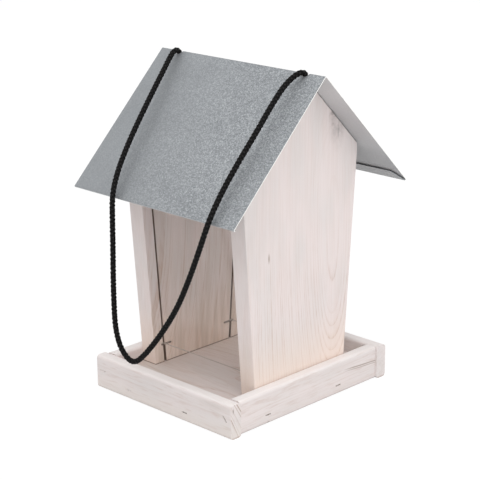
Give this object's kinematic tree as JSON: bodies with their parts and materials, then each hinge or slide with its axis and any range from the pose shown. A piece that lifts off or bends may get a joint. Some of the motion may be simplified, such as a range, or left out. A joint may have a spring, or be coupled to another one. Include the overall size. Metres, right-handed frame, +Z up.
{
  "type": "hanging bird table",
  "caption": "Hanging seed feeder with a railed wooden tray, two gabled side panels, clear sliding panes, a folded zinc roof that lifts for filling, and a cord loop.",
  "frame": {"origin": "centre of the tray's underside", "axes": "+X along the ridge to the right, -Y to the front, +Z up"},
  "size_m": [0.1728, 0.2062, 0.2636],
  "materials": {
    "whitewashed_wood": "matt",
    "galvanised_sheet": "satin",
    "clear_plastic": "gloss",
    "staple_wire": "satin",
    "screw_steel": "satin",
    "black_cord": "matt"
  },
  "bodies": {
    "house": {"floor_board": "whitewashed_wood", "front_rail": "whitewashed_wood", "back_rail": "whitewashed_wood", "left_rail": "whitewashed_wood", "right_rail": "whitewashed_wood", "left_side_panel": "whitewashed_wood", "right_side_panel": "whitewashed_wood", "front_rail_staples": "staple_wire", "back_rail_staples": "staple_wire", "left_rail_staples": "staple_wire", "right_rail_staples": "staple_wire", "corner_staples": "staple_wire", "front_pane_staples": "staple_wire", "back_pane_staples": "staple_wire", "left_panel_screws": "screw_steel", "right_panel_screws": "screw_steel", "left_cord_end": "black_cord", "right_cord_end": "black_cord", "left_knot": "black_cord", "right_knot": "black_cord"},
    "roof": {"roof_sheet": "galvanised_sheet", "cord_loop": "black_cord"},
    "front_pane": {"front_pane": "clear_plastic"},
    "back_pane": {"back_pane": "clear_plastic"}
  },
  "joints": [
    {"name": "roof_lift", "type": "slide", "parent": "house", "child": "roof", "axis": [0, 0, 1], "range_m": [0, 0.2]},
    {"name": "front_pane_lift", "type": "slide", "parent": "house", "child": "front_pane", "axis": [0, -0.0771, 0.997], "range_m": [0, 0.006]},
    {"name": "back_pane_lift", "type": "slide", "parent": "house", "child": "back_pane", "axis": [0, 0.0771, 0.997], "range_m": [0, 0.01]}
  ]
}
